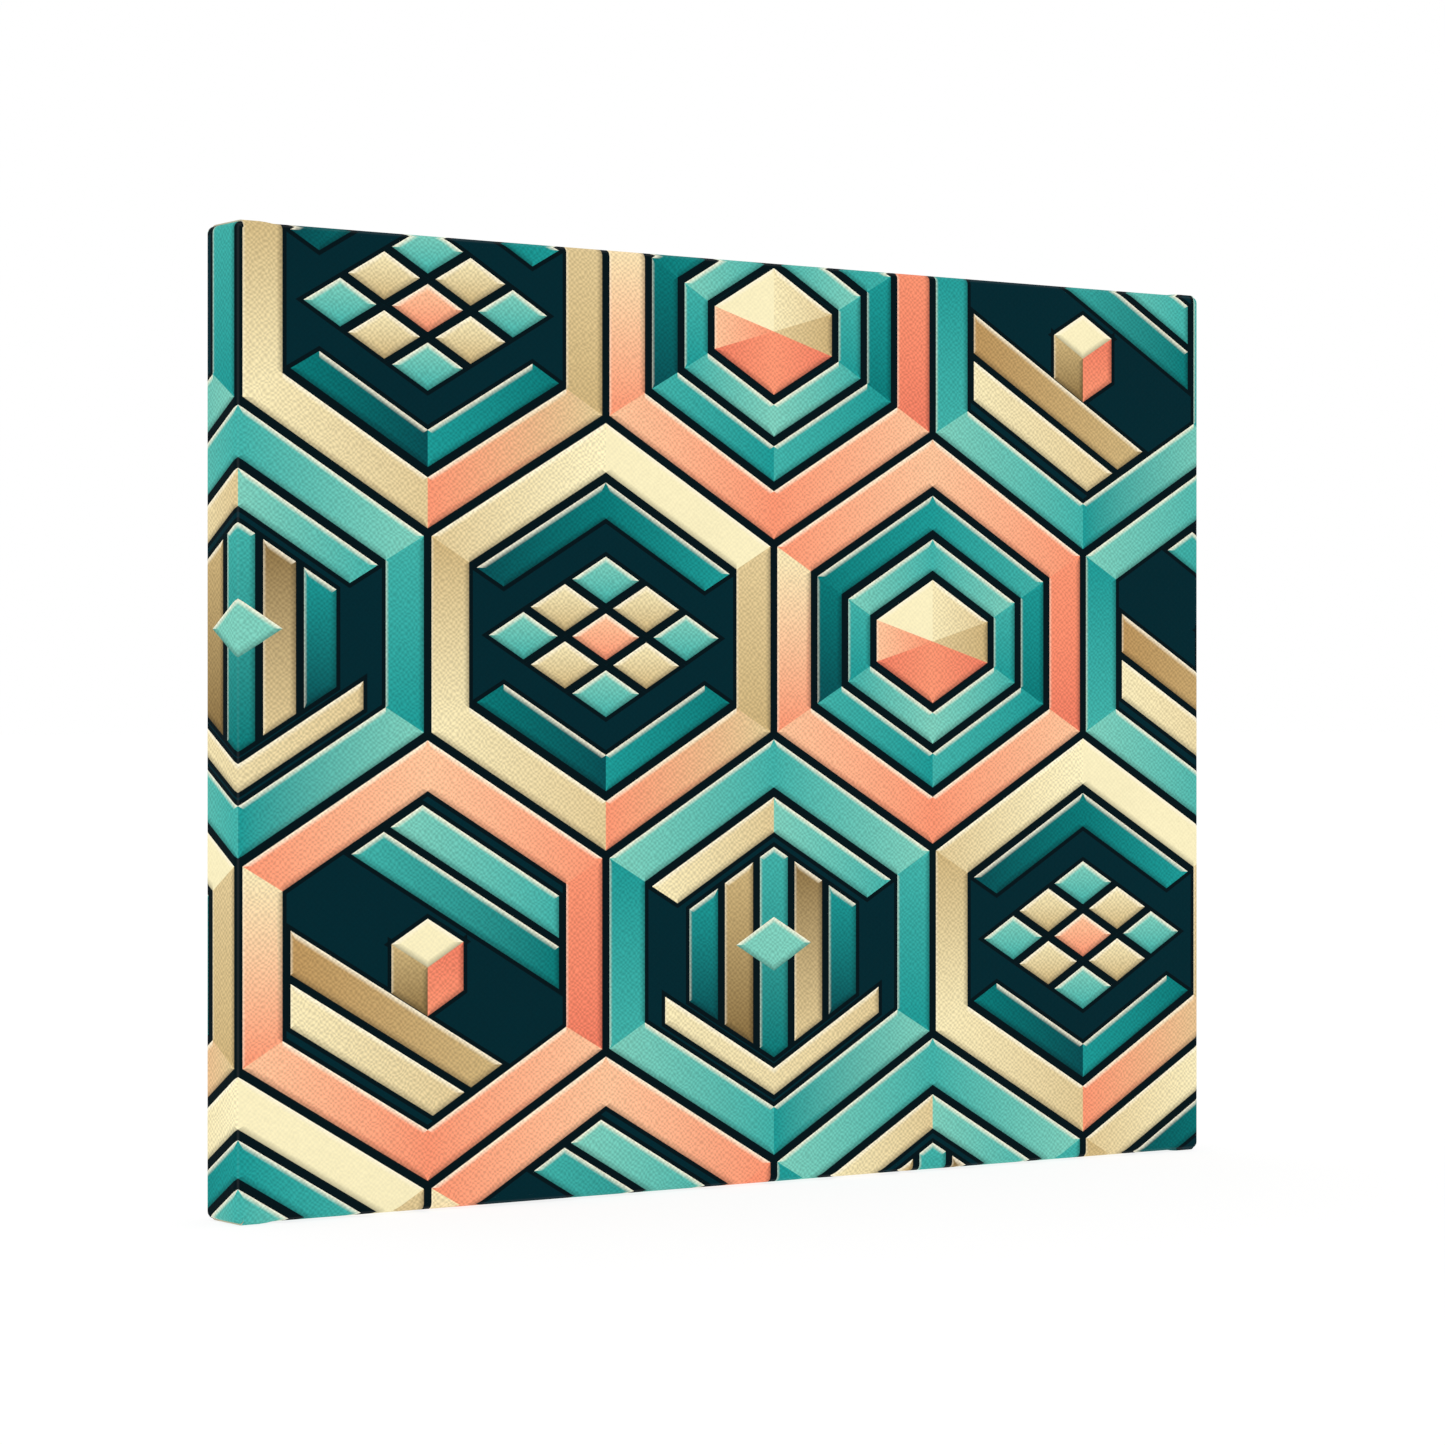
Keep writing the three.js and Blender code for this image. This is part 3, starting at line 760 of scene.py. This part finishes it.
# %% Shading normals, and the cloth as an object
corner_normals = np.zeros((loops, 3))
vertex_of = np.zeros(loops, int)
mesh.loops.foreach_get("vertex_index", vertex_of)
corner_normals[:outer * 3] = normal3[vertex_of[:outer * 3]]
corner_normals[outer * 3:outer * 6] = -normal3[vertex_of[outer * 3:outer * 6] - count]
for polygon in list(mesh.polygons)[outer * 2:]:
    corner_normals[list(polygon.loop_indices)] = polygon.normal
mesh.polygons.foreach_set("use_smooth", [True] * len(mesh.polygons))
mesh.normals_split_custom_set([tuple(n) for n in corner_normals])
canvas = bpy.data.objects.new("canvas_sheet", mesh)
bpy.context.scene.collection.objects.link(canvas)
sides = np.zeros(len(mesh.polygons), np.int32)  # 0 printed side, 1 inner side and cut edge
sides[outer:] = 1
mesh.polygons.foreach_set("material_index", sides)
print("object", canvas.name, "with", outer, "printed faces")

# %% [markdown]
# ## Printed poly-cotton
# The cloth is plain-woven and primed, and pigment ink sits in it: matt, with next to no sheen.
# The threads stand as rows of small humps, and rich ink shows them best. An image of cloth would
# repeat, so the weave is worked out from the flat map: a checker says which thread is over, and
# a sine across it makes that thread round.

# %% Threads
THREAD = 1.4 * MM  # real threads are 0.45 mm apart, too fine to show, so it is drawn coarser
print("threads", round(THREAD / MM, 2), "mm apart")


def waves(material, at, across, along):
    """A sine wave across the flat map and one along it, with these lengths."""
    split = add(material, "SeparateXYZ", [(0, at)])
    pair = []
    for axis, length in (("X", across), ("Y", along)):
        phase = add(material, "Math", [(0, split.outputs[axis])], operation="MULTIPLY",
                    _1=2 * math.pi / length)
        pair.append(add(material, "Math", [(0, phase.outputs[0])], operation="SINE"))
    return pair


def woven(material, at):
    """Plain weave: where the warp is over, its round thread stands up, and elsewhere the weft's."""
    ridges = [add(material, "Math", [(0, wave.outputs[0])], operation="ABSOLUTE")
              for wave in waves(material, at, 2 * THREAD, 2 * THREAD)]
    over = add(material, "TexChecker", [("Vector", at)], Scale=1 / THREAD)
    return add(material, "Mix", [("Factor", over.outputs["Fac"]), (2, ridges[0].outputs[0]),
                                 (3, ridges[1].outputs[0])])


# %% Printed side: how much ink each hump holds
# Primed poly-cotton under pigment ink: matt, a little cloudy, dotted where threads cross.
STIPPLE = (1.35 * THREAD, 1.15 * THREAD)  # one wave of humps, across and along
STIPPLE_DEPTH = 0.19  # how much lighter or darker the richest ink gets on a hump
WANDERS = 300.0  # bends of a thread in a metre: one in 3.3 mm
SLUBS = 420.0  # thick places in a metre: one in 2.4 mm
BLOTCHES = 28.0  # cloudy patches in a metre: one in 36 mm
CLOUDY = (0.1, 0.92)  # how far slubs and blotches change the ink, and its least strength
printed_cloth, shader = new_material("primed poly-cotton, inkjet printed")
m = printed_cloth
ink_node = add(m, "Attribute", attribute_name="ink")
tooth_node = add(m, "Attribute", attribute_name="tooth")
flat_node = add(m, "UVMap", uv_map="weave")
sway = add(m, "TexNoise", [("Vector", flat_node.outputs["UV"])], Scale=WANDERS, Detail=2.0)
swayed = add(m, "VectorMath", [(0, sway.outputs["Color"]), (2, flat_node.outputs["UV"])],
             operation="MULTIPLY_ADD", _1=(2 * THREAD, 2 * THREAD, 0))
humps = waves(m, swayed.outputs[0], *STIPPLE)
dots = add(m, "Math", [(0, humps[0].outputs[0]), (1, humps[1].outputs[0])], operation="MULTIPLY")
slub = add(m, "TexNoise", [("Vector", flat_node.outputs["UV"])], Scale=SLUBS, Detail=3.0)
blotch = add(m, "TexNoise", [("Vector", flat_node.outputs["UV"])], Scale=BLOTCHES, Detail=2.0)
uneven = add(m, "Math", [(0, slub.outputs[0]), (1, blotch.outputs[0])], operation="ADD")
dot_depth = add(m, "Math", [(0, tooth_node.outputs["Fac"])], operation="MULTIPLY",
                _1=STIPPLE_DEPTH)
dotted = add(m, "Math", [(0, dots.outputs[0]), (1, dot_depth.outputs[0])], operation="MULTIPLY")
cloudy = add(m, "Math", [(0, uneven.outputs[0])], operation="MULTIPLY_ADD", _1=CLOUDY[0],
             _2=CLOUDY[1])
strength = add(m, "Math", [(0, cloudy.outputs[0]), (1, dotted.outputs[0])], operation="ADD")
inked = add(m, "VectorMath", [(0, ink_node.outputs["Color"])], operation="SCALE")
m.node_tree.links.new(strength.outputs[0], inked.inputs["Scale"])
feed(m, shader, "Base Color", inked.outputs[0])
print("humps", [round(v / MM, 2) for v in STIPPLE], "mm")

# %% Printed side: relief and gloss
threads = woven(m, flat_node.outputs["UV"])
height = add(m, "Math", [(0, slub.outputs[0]), (1, threads.outputs[0])], operation="ADD")
bump = add(m, "Bump", [("Height", height.outputs[0])], Strength=0.35, Distance=0.15 * MM)
feed(m, shader, "Normal", bump.outputs[0])
rough = add(m, "Math", [(0, slub.outputs[0])], operation="MULTIPLY_ADD", _1=0.2, _2=0.7)
feed(m, shader, "Roughness", rough.outputs[0])
shader.inputs["IOR"].default_value = 1.45
shader.inputs["Specular IOR Level"].default_value = 0.04  # pigment ink on primer: almost none
mesh.materials.append(printed_cloth)
print(m.name, len(m.node_tree.nodes), "nodes")

# %% [markdown]
# ## Raw cotton behind
# Inside the frame the cloth is unprimed: the bare woven cotton, warm off-white with slubs, and
# quite matt. It has the same threads as the printed side, but nothing fills them, so the weave
# is deeper and darker in its gaps.

# %% Inner side
# Loomstate cotton, woven and not sized: the gaps between threads read as a fine dark grid.
INNER_SLUBS = 260.0  # thick places in a metre: one in 3.8 mm
raw_cloth, shader = new_material("raw cotton, inner side")
m = raw_cloth
flat_node = add(m, "UVMap", uv_map="weave")
threads = woven(m, flat_node.outputs["UV"])
slub = add(m, "TexNoise", [("Vector", flat_node.outputs["UV"])], Scale=INNER_SLUBS, Detail=3.0)
shade = add(m, "Math", [(0, threads.outputs[0]), (1, slub.outputs[0])], operation="MULTIPLY")
tone = add(m, "ValToRGB", [("Fac", shade.outputs[0])])
tone.color_ramp.elements[0].position, tone.color_ramp.elements[1].position = 0.08, 0.5
tone.color_ramp.elements[0].color = rgba("#cfc3aa")
tone.color_ramp.elements[1].color = rgba("#eee7d7")
feed(m, shader, "Base Color", tone.outputs[0])
bump = add(m, "Bump", [("Height", shade.outputs[0])], Strength=0.5, Distance=0.2 * MM)
feed(m, shader, "Normal", bump.outputs[0])
shader.inputs["Roughness"].default_value = 0.92
shader.inputs["Specular IOR Level"].default_value = 0.2
mesh.materials.append(raw_cloth)
print(m.name, len(m.node_tree.nodes), "nodes")

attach(canvas, "stretched_canvas")
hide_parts("printed_canvas")

# %% [markdown]
# ## Planed pine, beech, steel and rubber
# The bars are planed pine: pale earlywood with narrow darker latewood lines along the bar. The
# keys are beech, closer and pinker, with short dark flecks. Staples are galvanised wire, the
# hanger and its nails zinc-plated steel, and the wall dots moulded rubber. All of them are
# worked out from the piece's own coordinates, so a key's grain travels with it.

# %% Wood
BAND = 2 * math.pi / 10  # a wave texture's scale for bands one unit apart
RING = 4.5 * MM  # between one year's latewood line and the next
SQUEEZE = 0.04  # the grain changes this much more slowly along the piece than across it
SWAYS = 30.0  # bends of the rings in a metre across the grain: one in 33 mm
PINE_FIBRES = 1400.0  # fibres in a metre: one in 0.7 mm
BEECH_FLECKS = 2400.0  # flecks in a metre: one in 0.4 mm


def wood(name, along, early, late, ring, fibre_count):
    """Wood with its grain along one axis: rings that darken and stop short, and fibres."""
    material, shader = new_material(name)
    stretch = {"x": (SQUEEZE, 1, 1), "z": (1, 1, SQUEEZE)}[along]
    at = add(material, "TexCoord")
    squeezed = add(material, "Mapping", [("Vector", at.outputs["Object"])], Scale=stretch)
    wobble = add(material, "TexNoise", [("Vector", squeezed.outputs[0])], Scale=SWAYS, Detail=2.0)
    bend = add(material, "VectorMath", [(0, wobble.outputs["Color"]), (2, squeezed.outputs[0])],
               operation="MULTIPLY_ADD", _1=(2 * ring, 2 * ring, 2 * ring))
    rings = add(material, "TexWave", [("Vector", bend.outputs[0])], wave_type="BANDS",
                bands_direction="DIAGONAL", wave_profile="SAW", Scale=BAND / ring)
    fibres = add(material, "TexNoise", [("Vector", squeezed.outputs[0])], Scale=fibre_count,
                 Detail=4.0)
    both = add(material, "Math", [(0, rings.outputs["Fac"]), (1, fibres.outputs[0])],
               operation="ADD")
    mean = add(material, "Math", [(0, both.outputs[0])], operation="MULTIPLY", _1=0.5)
    tone = add(material, "ValToRGB", [("Fac", mean.outputs[0])])
    tone.color_ramp.elements[0].position, tone.color_ramp.elements[1].position = 0.38, 0.8
    tone.color_ramp.elements[0].color = rgba(early)
    tone.color_ramp.elements[1].color = rgba(late)
    feed(material, shader, "Base Color", tone.outputs[0])
    rough = add(material, "Math", [(0, fibres.outputs[0])], operation="MULTIPLY_ADD", _1=0.25,
                _2=0.5)
    feed(material, shader, "Roughness", rough.outputs[0])
    bump = add(material, "Bump", [("Height", both.outputs[0])], Strength=0.3, Distance=0.1 * MM)
    feed(material, shader, "Normal", bump.outputs[0])
    shader.inputs["IOR"].default_value = 1.5
    shader.inputs["Specular IOR Level"].default_value = 0.3
    return material


# Planed pine, unsealed: smooth pale wood, amber latewood lines, hardly any gloss.
pine = {axis: wood("planed pine along " + axis, axis, "#efdcb4", "#cb9a5e", RING,
                   PINE_FIBRES)
        for axis in "xz"}
# Sawn beech: closer rings and a warmer, pinker brown, which tells a key from its bar.
beech = {axis: wood("sawn beech along " + axis, axis, "#e0be94", "#b5855a", RING / 3,
                    BEECH_FLECKS)
         for axis in "xz"}
print("woods", [w.name for w in (*pine.values(), *beech.values())])


# %% Steel and rubber
def worn(name, light, dark, metallic, roughness, grain, depth):
    """A surface with a fine speckle: plated steel or moulded rubber."""
    material, shader = new_material(name)
    at = add(material, "TexCoord")
    speckle = add(material, "TexNoise", [("Vector", at.outputs["Object"])], Scale=1 / grain,
                  Detail=3.0)
    tone = add(material, "ValToRGB", [("Fac", speckle.outputs[0])])
    tone.color_ramp.elements[0].position, tone.color_ramp.elements[1].position = 0.35, 0.7
    tone.color_ramp.elements[0].color = rgba(dark)
    tone.color_ramp.elements[1].color = rgba(light)
    feed(material, shader, "Base Color", tone.outputs[0])
    rough = add(material, "Math", [(0, speckle.outputs[0])], operation="MULTIPLY_ADD", _1=0.3,
                _2=roughness)
    feed(material, shader, "Roughness", rough.outputs[0])
    bump = add(material, "Bump", [("Height", speckle.outputs[0])], Strength=0.2, Distance=depth)
    feed(material, shader, "Normal", bump.outputs[0])
    shader.inputs["Metallic"].default_value = metallic
    return material


# Zinc-coated wire, drawn and bent: bright grey, smooth enough to catch the light.
wire = worn("galvanised staple wire", "#c9ccd0", "#9b9fa5", 1.0, 0.22, 0.6 * MM, 0.02 * MM)
# Zinc-plated sheet, stamped: a slightly yellow grey, satin.
plate = worn("zinc-plated sheet steel", "#d2cfc4", "#bbb8ab", 1.0, 0.24, 0.9 * MM, 0.01 * MM)
# Black rubber, moulded: dark grey and matt, with a fine grain.
rubber = worn("moulded rubber", "#4a4a48", "#333331", 0.0, 0.55, 0.4 * MM, 0.05 * MM)
print("finishes", wire.name, "/", plate.name, "/", rubber.name)


# %% Finish every node that is shown
def finish_of(name):
    """The material of a node, by its name; wood grain runs along the piece."""
    if name.startswith("stretcher_bar_"):
        return pine["x" if name.endswith(("top", "bottom")) else "z"]
    if name.startswith("corner_key_"):
        lo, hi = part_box(name)
        return beech["x" if hi.x - lo.x > hi.z - lo.z else "z"]
    if name.startswith("staple_"):
        return wire
    return rubber if name.startswith("wall_bumper_") else plate


for name, node in nodes.items():
    if name == "printed_canvas":
        continue
    if not node.material_slots:
        node.data.materials.append(None)
    for slot in node.material_slots:
        slot.material = finish_of(name)
print("finished", len(nodes) - 1, "nodes")
